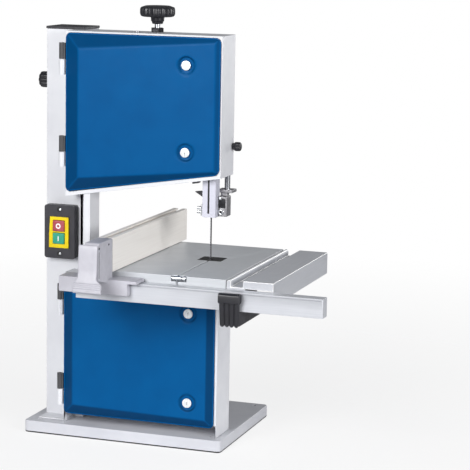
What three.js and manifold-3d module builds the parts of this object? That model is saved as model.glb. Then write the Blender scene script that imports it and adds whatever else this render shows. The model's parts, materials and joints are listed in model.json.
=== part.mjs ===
// Bench band saw with sliding table extension. Millimetres, Z up, X to the right, Y to the back.
// While it is being drawn, x = 0 is the column's left face and y = 0 the front rim of both wheel boxes.
import * as THREE from 'three';
import { mergeVertices } from 'three/addons/utils/BufferGeometryUtils.js';
import { ConvexGeometry } from 'three/addons/geometries/ConvexGeometry.js';
import Module from 'manifold-3d';

const wasm = await Module();
wasm.setup();

// ---- driving dimensions ----
const gap = 0.3;
const sheet = 1.5;
const topZ = 660;
const baseBox = { x0: -17, x1: 325, y0: -13, y1: 236.5, h: 20 };
const column = { w: 66, y0: 38.6, y1: 98 };
const boxDepth = 62;
const boxRight = 313.5;
const upperLeft = 50;
const lowerLeft = 48;
const lowerTop = 270;
const slope = 0.165;
const wheelX = 188;
const wheelY = 31;
const upperWheelZ = 540;
const lowerWheelZ = 154;
const tyreR = 100;
const bladeIn = 100.15;
const bladeThick = 0.7;
const bladeWide = 6;
const bladeX = wheelX + bladeIn + bladeThick / 2;
const table = { x0: 130, x1: 367, y0: -122, y1: 170, top: 304, plate: 8 };
const rail = { x0: 132, x1: 526, y0: -144, y1: -126, z0: 262, z1: 291 };
const fence = { x0: 165.5, x1: 189.5, y0: -136, y1: 190, z0: 305, z1: 357 };
const post = { x: 306.5, y: 55, r: 4.5 };
const originX = 251;
const originY = 12;

function bottomOf(x) {
  return 395 + slope * (x - 50);
}

// ---- colours ----
const looks = {
  grey: [0xd4d5da, 0.45, 0.1],
  blue: [0x0a5a9c, 0.35, 0.1],
  black: [0x26262a, 0.55, 0.0],
  steel: [0xc4c6ca, 0.3, 0.9],
  darkSteel: [0x5a5c60, 0.4, 0.8],
  alu: [0xd6d7da, 0.4, 0.7],
  tableGrey: [0x97979b, 0.5, 0.4],
  rubber: [0x1c1c1e, 0.85, 0.0],
  plastic: [0xdedde6, 0.5, 0.0],
  yellow: [0xf2d21c, 0.4, 0.0],
  red: [0xb8484e, 0.4, 0.0],
  green: [0x2f9a74, 0.4, 0.0],
};

function toSolid(geometry) {
  const plain = geometry.clone();
  plain.deleteAttribute('normal');
  plain.deleteAttribute('uv');
  const g = mergeVertices(plain, 1e-4);
  const mesh = new wasm.Mesh({
    numProp: 3,
    vertProperties: new Float32Array(g.attributes.position.array),
    triVerts: new Uint32Array(g.index.array),
  });
  return new wasm.Manifold(mesh);
}

function toGeometry(solid) {
  const m = solid.getMesh();
  const g = new THREE.BufferGeometry();
  const pos = new Float32Array(m.numVert * 3);
  for (let i = 0; i < m.numVert; i++) {
    for (let k = 0; k < 3; k++) {
      pos[i * 3 + k] = m.vertProperties[i * m.numProp + k];
    }
  }
  g.setAttribute('position', new THREE.BufferAttribute(pos, 3));
  g.setIndex(Array.from(m.triVerts));
  g.computeVertexNormals();
  return g;
}

function join(...parts) {
  return toGeometry(parts.map(toSolid).reduce((a, b) => a.add(b)));
}

function cut(body, ...tools) {
  return toGeometry([body, ...tools].map(toSolid).reduce((a, b) => a.subtract(b)));
}

function slab(x0, x1, y0, y1, z0, z1) {
  const g = new THREE.BoxGeometry(x1 - x0, y1 - y0, z1 - z0);
  return g.translate((x0 + x1) / 2, (y0 + y1) / 2, (z0 + z1) / 2);
}

function outline(points, hole) {
  const s = new THREE.Shape(points.map((p) => new THREE.Vector2(p[0], p[1])));
  if (hole) {
    s.holes.push(new THREE.Path(hole.map((p) => new THREE.Vector2(p[0], p[1]))));
  }
  return s;
}

function prism(shape, depth) {
  return new THREE.ExtrudeGeometry(shape, { depth, bevelEnabled: false, curveSegments: 24 });
}

// profile in x,z pulled from y0 to y1
function alongY(points, y0, y1, hole) {
  const g = prism(outline(points, hole), y1 - y0);
  return g.rotateX(Math.PI / 2).translate(0, y1, 0);
}

// profile in y,z pulled from x0 to x1
function alongX(points, x0, x1, hole) {
  const g = prism(outline(points, hole), x1 - x0);
  const turn = new THREE.Matrix4().makeBasis(
    new THREE.Vector3(0, 1, 0), new THREE.Vector3(0, 0, 1), new THREE.Vector3(1, 0, 0));
  return g.applyMatrix4(turn).translate(x0, 0, 0);
}

// profile in x,y pulled from z0 to z1
function alongZ(points, z0, z1, hole) {
  return prism(outline(points, hole), z1 - z0).translate(0, 0, z0);
}

function rodX(r, x0, x1, y, z, n = 20) {
  const g = new THREE.CylinderGeometry(r, r, x1 - x0, n);
  return g.rotateZ(-Math.PI / 2).translate((x0 + x1) / 2, y, z);
}

function rodY(r, y0, y1, x, z, n = 20) {
  const g = new THREE.CylinderGeometry(r, r, y1 - y0, n);
  return g.translate(x, (y0 + y1) / 2, z);
}

function rodZ(r, z0, z1, x, y, n = 20) {
  const g = new THREE.CylinderGeometry(r, r, z1 - z0, n);
  return g.rotateX(Math.PI / 2).translate(x, y, (z0 + z1) / 2);
}

// profile of [radius, y] turned about a Y axis through x, z
function turnedY(points, x, z, n = 48) {
  const g = new THREE.LatheGeometry(points.map((p) => new THREE.Vector2(p[0], p[1])), n);
  return g.translate(x, 0, z);
}

function roundedRect(x0, x1, y0, y1, r, n = 5) {
  const out = [];
  const corners = [[x1 - r, y0 + r, -90], [x1 - r, y1 - r, 0], [x0 + r, y1 - r, 90], [x0 + r, y0 + r, 180]];
  for (const [cx, cy, a0] of corners) {
    for (let i = 0; i <= n; i++) {
      const a = ((a0 + (90 * i) / n) * Math.PI) / 180;
      out.push([cx + r * Math.cos(a), cy + r * Math.sin(a)]);
    }
  }
  return out;
}

// polygon with every corner rounded
function rounded(points, r, n = 4) {
  const out = [];
  const m = points.length;
  for (let i = 0; i < m; i++) {
    const p = new THREE.Vector2(...points[i]);
    const a = new THREE.Vector2(...points[(i + m - 1) % m]).sub(p).normalize();
    const b = new THREE.Vector2(...points[(i + 1) % m]).sub(p).normalize();
    const half = Math.acos(THREE.MathUtils.clamp(a.dot(b), -1, 1)) / 2;
    const t = r / Math.tan(half);
    const start = p.clone().addScaledVector(a, t);
    const end = p.clone().addScaledVector(b, t);
    for (let k = 0; k <= n; k++) {
      const u = k / n;
      const q = start.clone().multiplyScalar((1 - u) * (1 - u));
      q.addScaledVector(p, 2 * u * (1 - u)).addScaledVector(end, u * u);
      out.push([q.x, q.y]);
    }
  }
  return out;
}

// star-shaped grip outline with shallow flutes
function fluted(r, depth, count, steps) {
  const out = [];
  for (let i = 0; i < steps; i++) {
    const a = (2 * Math.PI * i) / steps;
    const rr = r - depth * (0.5 - 0.5 * Math.cos(count * a));
    out.push([rr * Math.cos(a), rr * Math.sin(a)]);
  }
  return out;
}

function shifted(points, dx, dy) {
  return points.map((p) => [p[0] + dx, p[1] + dy]);
}

const group = new THREE.Group();
group.name = 'band_saw';

function add(name, geometry, look) {
  const [color, roughness, metalness] = looks[look];
  const mesh = new THREE.Mesh(geometry, new THREE.MeshStandardMaterial({ color, roughness, metalness }));
  mesh.name = name;
  group.add(mesh);
}

// ---- base and column ----
function basePan() {
  const b = baseBox;
  const inset = (t, r) => roundedRect(b.x0 + t, b.x1 - t, b.y0 + t, b.y1 - t, r);
  const holes = [];
  for (const x of [b.x0 + 20, b.x1 - 20]) {
    for (const y of [b.y0 + 20, b.y1 - 14]) {
      holes.push(rodZ(3.5, b.h - 4, b.h + 1, x, y, 16));
    }
  }
  return cut(alongZ(inset(0, 7), 0, b.h), alongZ(inset(2, 5), 2, b.h - 2),
    alongZ(inset(13, 3), -1, 3), ...holes);
}

function columnTube() {
  const c = column;
  const z0 = baseBox.h + gap;
  const tube = cut(slab(0, c.w, c.y0, c.y1, z0, topZ - gap),
    slab(sheet, c.w - sheet, c.y0 + sheet, c.y1 - sheet, z0 - 1, topZ + 1));
  const withFoot = join(tube, slab(0, 50, 8, c.y0 + 1, z0, z0 + 2));
  const slot = slab(60.2, 64.3, c.y0 - 1, c.y0 + 3, lowerTop + 2, 398);
  const knobHole = rodX(4.4, -1, 3, 68, 575, 16);
  return cut(withFoot, slot, knobHole);
}

function columnCap() {
  const c = column;
  return join(slab(-1, c.w + 1, c.y0 - 1, c.y1 + 1, topZ, topZ + 4),
    slab(2, c.w - 2, c.y0 + 2, c.y1 - 2, topZ - 8, topZ + 1));
}

// folded strip that covers the rising run of the blade and forms the throat wall
function throatGuard() {
  const profile = [[82, 0], [93.3, 0], [93.3, 39], [66.3, 39], [66.3, 37.5], [91.8, 37.5], [91.8, 1.5], [82, 1.5]];
  const above = [[60, bottomOf(60) - gap], [100, bottomOf(100) - gap], [100, 430], [60, 430]];
  return cut(alongZ(profile, lowerTop + gap, 420), alongY(above, -5, 45));
}

// ---- wheel boxes ----
function hingeOnFrame(axisX, wallX, z0, z1) {
  return [
    rodZ(4.5, z0, z1, axisX, -2, 18),
    rodZ(2.4, z1 - 1, z1 + 24, axisX, -2, 14),
    slab(axisX - 1, wallX - 0.6, -4.5, -2.2, z0, z1),
    slab(wallX - 2.4, wallX - 0.6, -4.5, 16, z0, z1),
    slab(wallX - 1.2, wallX + 0.4, 2, 16, z0, z1),
  ];
}

function lockCatch(x, z) {
  return cut(slab(x - 12, boxRight - 0.5, 4, 6, z - 13, z + 13), slab(x - 3.5, x + 3.5, 3, 7, z - 11, z + 11));
}

const upperAxisX = upperLeft - 5.5;
const lowerAxisX = lowerLeft - 5.5;
const upperLocks = [[257, 613.5], [257, 477.5]];
const lowerLocks = [[267, 221.7], [267, 76.4]];

function upperBox() {
  const corners = (t) => [[upperLeft + t, bottomOf(upperLeft + t) + t * 1.014],
    [boxRight - t, bottomOf(boxRight - t) + t * 1.014], [boxRight - t, topZ - t], [upperLeft + t, topZ - t]];
  let shell = cut(alongY(corners(0), 0, boxDepth), alongY(corners(sheet), sheet, boxDepth - sheet),
    alongY(corners(6), -1, 3));
  shell = cut(shell, slab(upperLeft - 1, column.w + gap, column.y0 - gap, boxDepth + 1, 380, topZ + 1),
    slab(67.5, 91.5, 10, 37, 380, 425), slab(270, 303, 14, 46, 400, 450), rodZ(5.2, 400, 450, post.x, post.y, 20),
    rodZ(5.2, topZ - 5, topZ + 1, wheelX, 46, 20), rodX(3.4, boxRight - 3, boxRight + 1, post.y, 484, 16));
  const runners = [slab(160, 166.5, 44, boxDepth - 1, 498, 622), slab(209.5, 216, 44, boxDepth - 1, 498, 622)];
  const clampBlock = cut(slab(296, boxRight - 1, 47, boxDepth - 1, 474, 494),
    rodZ(4.65, 470, 500, post.x, post.y, 24), rodX(3.4, 309, boxRight, post.y, 484, 16));
  const hinges = [...hingeOnFrame(upperAxisX, upperLeft, 590, 614.7), ...hingeOnFrame(upperAxisX, upperLeft, 443, 466.7)];
  const catches = upperLocks.map(([x, z]) => lockCatch(x, z));
  return join(shell, ...runners, clampBlock, ...hinges, ...catches);
}

function lowerBox() {
  const z0 = baseBox.h + gap;
  const left = lowerLeft;
  const rect = (t, zb) => [[left + t, zb], [boxRight - t, zb], [boxRight - t, lowerTop - t], [left + t, lowerTop - t]];
  let shell = cut(alongY(rect(0, z0), 0, boxDepth), alongY(rect(sheet, 42), sheet, boxDepth - sheet),
    alongY(rect(6, 46), -1, 3), slab(left + sheet, boxRight - sheet, -1, boxDepth - sheet, z0 - 1, 40));
  shell = cut(shell, slab(left - 1, column.w + gap, column.y0 - gap, boxDepth + 1, 0, lowerTop + 1),
    slab(left - 1, 51, 7, 45, 0, 22.6), slab(67.5, 91.5, 10, 37, 250, lowerTop + 1),
    slab(278, 300, 18, 44, 250, lowerTop + 1), rodY(24, 55, 65, wheelX, lowerWheelZ, 32));
  const hinges = [...hingeOnFrame(lowerAxisX, left, 200, 225.4), ...hingeOnFrame(lowerAxisX, left, 50, 76.7)];
  const catches = lowerLocks.map(([x, z]) => lockCatch(x, z));
  return join(shell, ...hinges, ...catches);
}

// pressed door: outline on the rim plane and a smaller raised panel in front of it
function door(rim, panel, holes) {
  const outer = [];
  const inner = [];
  const middle = [(rim[0][0] + rim[2][0]) / 2, (rim[0][1] + rim[2][1]) / 2];
  const pull = (p, t) => [p[0] + Math.sign(middle[0] - p[0]) * t, p[1] + Math.sign(middle[1] - p[1]) * t];
  for (const [x, z] of rounded(rim, 9, 4)) {
    outer.push(new THREE.Vector3(x, -gap, z), new THREE.Vector3(x, -gap - 2, z));
    const [ix, iz] = pull([x, z], 2);
    inner.push(new THREE.Vector3(ix, 2, iz), new THREE.Vector3(ix, -gap - 0.8, iz));
  }
  for (const [x, z, y] of panel) {
    outer.push(new THREE.Vector3(x, y, z));
    const [ix, iz] = pull([x, z], 1.2);
    inner.push(new THREE.Vector3(ix, y + 2, iz));
  }
  const bores = holes.map(([x, z]) => rodY(4.4, -30, 5, x, z, 20));
  return cut(new ConvexGeometry(outer), new ConvexGeometry(inner), ...bores);
}

function doorLeaf(axisX, doorLeft, z0, z1) {
  const knuckle = join(rodZ(4.5, z0, z1, axisX, -2, 18), slab(axisX, doorLeft - gap, -3.6, -0.6, z0, z1));
  return cut(knuckle, rodZ(2.55, z0 - 1, z1 + 1, axisX, -2, 16));
}

// slotted quarter-turn screw with a cross bar behind the catch plate
function doorLock(x, z, faceY) {
  const head = rodY(7.5, faceY - 4.2, faceY - 0.4, x, z, 28);
  const shaft = rodY(2.9, faceY - 1, 9, x, z, 16);
  const bar = slab(x - 2, x + 2, 7.6, 10.6, z - 9, z + 9);
  const slot = slab(x - 0.9, x + 0.9, faceY - 6, faceY - 2.8, z - 9, z + 9);
  return cut(join(head, shaft, bar), slot);
}

const upperDoor = {
  left: 51, right: 312,
  rim: [[51, 400.9], [312, 442.5], [312, 657.5], [51, 657.5]],
  panel: [[78, 425.7, -15], [303.5, 449, -6], [303.5, 651, -6], [78, 634, -15]],
};
const lowerDoor = {
  left: 49, right: 309.5,
  rim: [[49, 36], [309.5, 36], [309.5, 258], [49, 258]],
  panel: [[70, 55, -13], [297, 55, -10], [297, 243, -10], [70, 243, -13]],
};

function panelY(d, x) {
  const [p, q] = d.panel;
  return p[2] + ((q[2] - p[2]) * (x - p[0])) / (q[0] - p[0]);
}

// ---- wheels, blade and drive ----
function wheel(z) {
  const y = wheelY;
  const profile = [[8.3, y - 9], [17, y - 9], [17, y - 3], [88, y - 2], [88, y - 8.5], [97.6, y - 8.5], [97.6, y + 8.5],
    [88, y + 8.5], [88, y + 2], [17, y + 3], [17, y + 9], [8.3, y + 9], [8.3, y - 9]];
  const holes = [];
  for (let i = 0; i < 6; i++) {
    const a = (i * Math.PI) / 3 + 0.3;
    holes.push(rodY(19, y - 8, y + 8, wheelX + 54 * Math.cos(a), z + 54 * Math.sin(a), 16));
  }
  return cut(turnedY(profile, wheelX, z, 48), ...holes);
}

function tyre(z) {
  const y = wheelY;
  const profile = [[97.7, y - 8.5], [99.3, y - 8.5], [tyreR, y - 5], [tyreR, y + 5], [99.3, y + 8.5],
    [97.7, y + 8.5], [97.7, y - 8.5]];
  return turnedY(profile, wheelX, z, 48);
}

function bladeLoop() {
  const loop = (r) => {
    const out = [];
    for (let i = 0; i <= 48; i++) {
      const a = (Math.PI * i) / 48;
      out.push([wheelX + r * Math.cos(a), upperWheelZ + r * Math.sin(a)]);
    }
    for (let i = 0; i <= 48; i++) {
      const a = Math.PI + (Math.PI * i) / 48;
      out.push([wheelX + r * Math.cos(a), lowerWheelZ + r * Math.sin(a)]);
    }
    return out;
  };
  return alongY(loop(bladeIn + bladeThick), wheelY - bladeWide / 2, wheelY + bladeWide / 2, loop(bladeIn));
}

function upperAxle() {
  const profile = [[0, 18.5], [10.5, 18.5], [11, 20.5], [11, 21.7], [8, 21.7], [8, 58], [0, 58]];
  return turnedY(profile, wheelX, upperWheelZ, 28);
}

// hanger that carries the upper axle and runs between the two rails on the back sheet
function wheelHanger() {
  const z = upperWheelZ;
  const plate = slab(167, 209, 48, 54, 512, 606);
  const boss = rodY(15, 41, 56, wheelX, z, 28);
  const head = slab(176, 200, 40.8, 54, 592, 610);
  return cut(join(plate, boss, head), rodY(8.15, 30, 60, wheelX, z, 28), rodZ(4.65, 580, 620, wheelX, 46, 24));
}

function tensionKnob() {
  const grip = alongZ(shifted(fluted(28, 2.4, 12, 96), wheelX, 46), 684, 701);
  const top = rodZ(20, 700, 702, wheelX, 46, 36);
  const hub = rodZ(11, 673, 685, wheelX, 46, 28);
  return cut(join(grip, top, hub), rodZ(4.75, 670, 692, wheelX, 46, 20));
}

function hexNut() {
  const six = [];
  for (let i = 0; i < 6; i++) {
    six.push([wheelX + 10.5 * Math.cos((i * Math.PI) / 3), 46 + 10.5 * Math.sin((i * Math.PI) / 3)]);
  }
  return cut(alongZ(six, topZ + gap, topZ + 7), rodZ(4.8, topZ - 1, topZ + 9, wheelX, 46, 20));
}

function motorShaft() {
  const profile = [[0, 19], [8, 19], [8, 132], [0, 132]];
  return turnedY(profile, wheelX, lowerWheelZ, 28);
}

function motorBody() {
  const profile = [[8.6, 56], [22, 56], [22, 62.4], [58, 62.4], [58, 67], [52, 68.5], [52, 128], [8.6, 128], [8.6, 56]];
  return turnedY(profile, wheelX, lowerWheelZ, 32);
}

function fanCover() {
  const outer = [[0, 147.5], [39, 147.5], [51, 138], [51, 128.4], [53, 128.4], [53, 140], [41, 150], [0, 150]];
  return turnedY(outer, wheelX, lowerWheelZ, 32);
}

// ---- blade guide ----
function bladeGuard() {
  const channel = [[277, 20], [299, 20], [299, 40], [297.6, 40], [297.6, 21.4], [278.4, 21.4], [278.4, 40], [277, 40]];
  const viewSlit = slab(285.6, 288.8, 18, 23, 379, 470);
  return cut(alongZ(channel, 373, 478), viewSlit);
}

function guideBracket() {
  const shelf = slab(295, 320, 41, 62, 411, 416);
  const neck = slab(299.5, 311, 42, 52, 404, 412);
  const block = slab(299.4, 314, 32, 52, 374, 406);
  const web = slab(282, 300, 40.6, 46, 374, 398);
  const stub = rodY(2.4, 34.8, 42, 288.5, 380.5, 14);
  return cut(join(shelf, neck, block, web, stub), rodZ(4.6, 409, 420, post.x, post.y, 24),
    rodY(4, 30, 33.5, 304, 381, 16), slab(303, 310, 30, 35, 388, 402));
}

function sideGuide() {
  return join(slab(271.5, 276.7, 28, 38, 374, 391), rodX(2.5, 264.5, 272, 33, 385.6, 16), rodX(2.5, 264.5, 272, 33, 379.2, 16));
}

function guardTab() {
  return alongY([[261.5, 412], [276.7, 414], [276.7, 403]], 27, 34);
}

function thrustBearing() {
  const profile = [[2.6, 34.8], [6, 34.8], [6, 39.8], [2.6, 39.8], [2.6, 34.8]];
  return turnedY(profile, 288.5, 380.5, 24);
}

function lowerGuide() {
  return cut(slab(272, 302, 24, 50, lowerTop + gap, 277), slab(287.4, 289.6, 20, 34.6, lowerTop - 1, 280));
}

function guideLockKnob() {
  const body = join(rodX(7.4, boxRight + gap, 328, post.y, 484, 24), rodX(3, 311.2, 320, post.y, 484, 14));
  return body;
}

function trackingKnob() {
  const grip = alongX(shifted(fluted(13.2, 1.4, 9, 72), 68, 575), -24, -4);
  return join(grip, rodX(9, -5, -gap, 68, 575, 24), rodX(4, -2, 20, 68, 575, 16));
}

// ---- switch ----
function switchBox() {
  const body = alongY(roundedRect(3, 57, 287.5, 375.5, 5), 23, column.y0 - gap);
  return cut(body, slab(15.5, 44.5, 20, 35, 309, 354));
}

function switchFrame() {
  const plate = join(slab(14, 47, 19.5, 22.7, 305.5, 356.5), slab(12.5, 15, 19.5, 22.7, 305.5, 330));
  return cut(plate, slab(19.5, 40.5, 18, 24, 332.5, 351), slab(19.5, 40.5, 18, 24, 312, 330.5));
}

function button(z0, z1) {
  return slab(19.9, 40.1, 17.5, 30, z0 + 0.4, z1 - 0.4);
}

// ---- table ----
function tableTop() {
  const t = table;
  const under = t.top - t.plate;
  const plate = slab(t.x0, t.x1, t.y0, t.y1, under, t.top);
  const skirts = [
    slab(t.x0, t.x1, t.y0, t.y0 + 5, 282, under + 1),
    slab(t.x0, t.x1, t.y1 - 5, t.y1, 282, under + 1),
    slab(t.x0, t.x0 + 5, t.y0, t.y1, 282, under + 1),
    slab(t.x1 - 5, t.x1, t.y0, t.y1, 282, under + 1),
  ];
  return cut(join(plate, ...skirts), slab(269, 309, 20, 56, t.top - 3.4, t.top + 1),
    slab(272, 306, 23, 53, under - 1, t.top), slab(287.2, 290, t.y0 - 1, 21, 270, t.top + 1),
    slab(279, 304, t.y0 - 1, t.y0 + 6.4, t.top - 9, t.top + 1));
}

function tableInsert() {
  const t = table;
  return cut(slab(269.3, 308.7, 20.3, 55.7, t.top - 3.2, t.top - 0.1), slab(286.3, 292.4, 26, 39, 290, t.top + 1),
    slab(287.2, 290, 19, 30, 290, t.top + 1));
}

function slotPin() {
  const y = table.y0 + 1.7;
  return join(rodX(3.4, 281, 296, y, 300.2, 20), rodX(2.4, 295, 302, y, 300.2, 16), rodX(4, 300, 302.5, y, 300.2, 20),
    rodZ(0.9, 289, 299, 288.6, y - 1.2, 10));
}

function arc(cx, cz, r, a0, a1, n) {
  const out = [];
  for (let i = 0; i <= n; i++) {
    const a = ((a0 + ((a1 - a0) * i) / n) * Math.PI) / 180;
    out.push([cx + r * Math.cos(a), cz + r * Math.sin(a)]);
  }
  return out;
}

// half disc under the table, centred on the blade line in the table's surface
function trunnionSegment() {
  const disc = arc(bladeX, table.top, 72, 186.7, 353.3, 40);
  const slot = [...arc(bladeX, table.top, 54.2, 265, 315, 16), ...arc(bladeX, table.top, 61.8, 315, 265, 16)];
  return alongY(disc, 68, 76, slot);
}

function trunnionBracket() {
  const profile = [[boxDepth + gap, 196], [83, 196], [83, 262], [76.5, 262], [76.5, 228], [boxDepth + gap, 228]];
  return cut(alongX(profile, 264, 313), rodY(4, 70, 90, bladeX, 246, 20));
}

function tiltLockKnob() {
  const z = 246;
  const stud = rodY(3.4, 65, 86, bladeX, z, 18);
  const head = rodY(6.5, 63.2, 67.4, bladeX, z, 20);
  const grip = alongY(shifted(fluted(17, 2.5, 6, 72), bladeX, z), 89, 104);
  const hub = rodY(9, 83.5, 90, bladeX, z, 24);
  return join(stud, head, grip, hub);
}

function railBar() {
  return slab(rail.x0 + 1, table.x1 - 1, rail.y0 + 3, table.y0 - gap, rail.z0 + 3, rail.z1 - 3);
}

// C section that slides on the bar, closed at its right end
function slidingRail() {
  const r = rail;
  const profile = [[r.y0, r.z0], [r.y1 + 2.5, r.z0], [r.y1 + 2.5, r.z0 + 2], [r.y0 + 2, r.z0 + 2], [r.y0 + 2, r.z1 - 2],
    [r.y1 + 2.5, r.z1 - 2], [r.y1 + 2.5, r.z1], [r.y0, r.z1], [r.y0, r.z1 - 2.4], [r.y0 + 0.8, r.z1 - 3], [r.y0, r.z1 - 3.6]];
  return join(alongX(profile, r.x0, r.x1 - 2), slab(r.x1 - 3, r.x1, r.y0, r.y1 + 2.5, r.z0, r.z1));
}

// extruded strip with a rounded lip, a groove for the mitre gauge and a side flange
function tableExtension() {
  const t = table.top;
  const profile = [[368.3, t - 14], [368.3, t - 2.5], [369.5, t - 0.4], [371.6, t + 0.4], [373.8, t - 0.4], [375, t - 2.5],
    [375, t - 10], [394, t - 10], [394, t], [442, t], [442, t - 35], [439, t - 35], [439, t - 12], [397, t - 12], [397, t - 14]];
  return alongY(profile, table.y0, 172);
}

function clampBody() {
  return join(slab(370, 399, -148.6, -50, 240, rail.z0 - gap), slab(372, 397, -119, -60, rail.z0 - 1, table.top - 14.3));
}

function clampLever() {
  const nose = [[-149, 290.2], [-147, 289.7], [-145.4, 288.2], [-144.8, 286], [-144.8, 277], [-150, 275], [-150, 238],
    [-157, 238], [-159.5, 276], [-160, 288], [-157, 290.2]];
  const ribs = [];
  for (const x of [377.5, 387.5]) {
    ribs.push(slab(x - 1.6, x + 1.6, -162, -155.5, 230, 272));
  }
  return cut(alongX(nose, 367, 400), ...ribs);
}

// ---- fence ----
function fenceProfile() {
  const f = fence;
  const h = f.z1 - f.z0;
  const outer = [[f.x0, f.z0], [f.x1, f.z0], [f.x1, f.z1], [f.x0 + 16, f.z1], [f.x0 + 16, f.z1 - 2.5], [f.x0 + 19, f.z1 - 2.5],
    [f.x0 + 19, f.z1 - 8], [f.x0 + 5, f.z1 - 8], [f.x0 + 5, f.z1 - 2.5], [f.x0 + 8, f.z1 - 2.5], [f.x0 + 8, f.z1], [f.x0, f.z1],
    [f.x0, f.z0 + 30], [f.x0 + 2.5, f.z0 + 30], [f.x0 + 2.5, f.z0 + 33], [f.x0 + 8, f.z0 + 33], [f.x0 + 8, f.z0 + 19],
    [f.x0 + 2.5, f.z0 + 19], [f.x0 + 2.5, f.z0 + 22], [f.x0, f.z0 + 22]];
  const hollow = [[f.x0 + 10.5, f.z0 + 3], [f.x1 - 2.5, f.z0 + 3], [f.x1 - 2.5, f.z0 + h - 11], [f.x0 + 10.5, f.z0 + h - 11]];
  return alongY(outer, f.y0, f.y1, hollow);
}

function fenceCarrier() {
  const frontBar = slab(109, 222, -158, rail.y0 - 0.4, 273, 297);
  const topPlate = slab(109, 237, -158, -124, rail.z1 + 0.6, 297);
  const head = alongX([[-192.6, 300], [-158.5, 292], [-136.4, 292], [-136.4, 357], [-188, 357], [-192.6, 352]], fence.x0, fence.x1);
  return join(frontBar, topPlate, head);
}

function fenceLever() {
  const strip = [[-193.2, 351], [-194, 355.5], [-197.5, 357], [-200.5, 355], [-201.5, 350], [-203, 312], [-209, 299],
    [-212.5, 290], [-212.5, 283], [-208.5, 282], [-207, 290], [-204, 298], [-198.5, 311], [-197, 345]];
  const grip = [[-205, 303], [-208, 303], [-212.5, 290], [-212.5, 282], [-208, 281.5], [-206.2, 290]];
  return join(alongX(strip, fence.x0 - 5, fence.x1 + 1.3), alongX(grip, fence.x0 - 10.5, fence.x1 + 11));
}

// ---- assembly ----
add('base_pan', basePan(), 'grey');
add('column', columnTube(), 'grey');
add('column_cap', columnCap(), 'black');
add('throat_guard', throatGuard(), 'grey');
add('upper_wheel_box', upperBox(), 'grey');
add('lower_wheel_box', lowerBox(), 'grey');

add('upper_door', door(upperDoor.rim, upperDoor.panel, upperLocks), 'blue');
add('lower_door', door(lowerDoor.rim, lowerDoor.panel, lowerLocks), 'blue');
add('upper_door_top_hinge', doorLeaf(upperAxisX, upperDoor.left, 615.3, 641), 'black');
add('upper_door_bottom_hinge', doorLeaf(upperAxisX, upperDoor.left, 467.3, 492.6), 'black');
add('lower_door_top_hinge', doorLeaf(lowerAxisX, lowerDoor.left, 226, 251.5), 'black');
add('lower_door_bottom_hinge', doorLeaf(lowerAxisX, lowerDoor.left, 77.3, 103), 'black');
add('upper_door_top_lock', doorLock(...upperLocks[0], panelY(upperDoor, 249)), 'steel');
add('upper_door_bottom_lock', doorLock(...upperLocks[1], panelY(upperDoor, 249)), 'steel');
add('lower_door_top_lock', doorLock(...lowerLocks[0], panelY(lowerDoor, 259)), 'steel');
add('lower_door_bottom_lock', doorLock(...lowerLocks[1], panelY(lowerDoor, 259)), 'steel');

add('upper_wheel', wheel(upperWheelZ), 'alu');
add('upper_tyre', tyre(upperWheelZ), 'rubber');
add('upper_axle', upperAxle(), 'steel');
add('wheel_hanger', wheelHanger(), 'darkSteel');
add('tension_knob', tensionKnob(), 'black');
add('tension_spindle', rodZ(4.5, 586, 690, wheelX, 46, 24), 'steel');
add('tension_nut', hexNut(), 'darkSteel');
add('tracking_knob', trackingKnob(), 'black');
add('lower_wheel', wheel(lowerWheelZ), 'alu');
add('lower_tyre', tyre(lowerWheelZ), 'rubber');
add('motor_shaft', motorShaft(), 'steel');
add('motor_body', motorBody(), 'black');
add('motor_fan_cover', fanCover(), 'black');
add('blade', bladeLoop(), 'steel');

add('guide_post', rodZ(post.r, 409.5, 604, post.x, post.y, 24), 'steel');
add('guide_bracket', guideBracket(), 'alu');
add('blade_guard', bladeGuard(), 'grey');
add('side_guide', sideGuide(), 'steel');
add('guard_tab', guardTab(), 'black');
add('thrust_bearing', thrustBearing(), 'steel');
add('guide_lock_knob', guideLockKnob(), 'black');
add('lower_blade_guide', lowerGuide(), 'darkSteel');

add('switch_box', switchBox(), 'black');
add('switch_frame', switchFrame(), 'yellow');
add('stop_button', button(332.5, 351), 'red');
add('start_button', button(312, 330.5), 'green');

add('table_top', tableTop(), 'tableGrey');
add('table_insert', tableInsert(), 'black');
add('slot_pin', slotPin(), 'steel');
add('trunnion_segment', trunnionSegment(), 'alu');
add('trunnion_bracket', trunnionBracket(), 'grey');
add('tilt_lock_knob', tiltLockKnob(), 'black');
add('rail_bar', railBar(), 'alu');
add('sliding_rail', slidingRail(), 'alu');
add('table_extension', tableExtension(), 'tableGrey');
add('extension_clamp_body', clampBody(), 'black');
add('extension_clamp_lever', clampLever(), 'black');
add('fence_profile', fenceProfile(), 'alu');
add('fence_carrier', fenceCarrier(), 'plastic');
add('fence_lever', fenceLever(), 'plastic');

group.position.set(-originX, -originY, 0);
export default group;
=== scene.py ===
# Bench band saw: finishes, pressed doors, knobs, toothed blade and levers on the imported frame.
import json

import bmesh
import bpy
import numpy as np
from mathutils import Matrix, Vector

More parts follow.
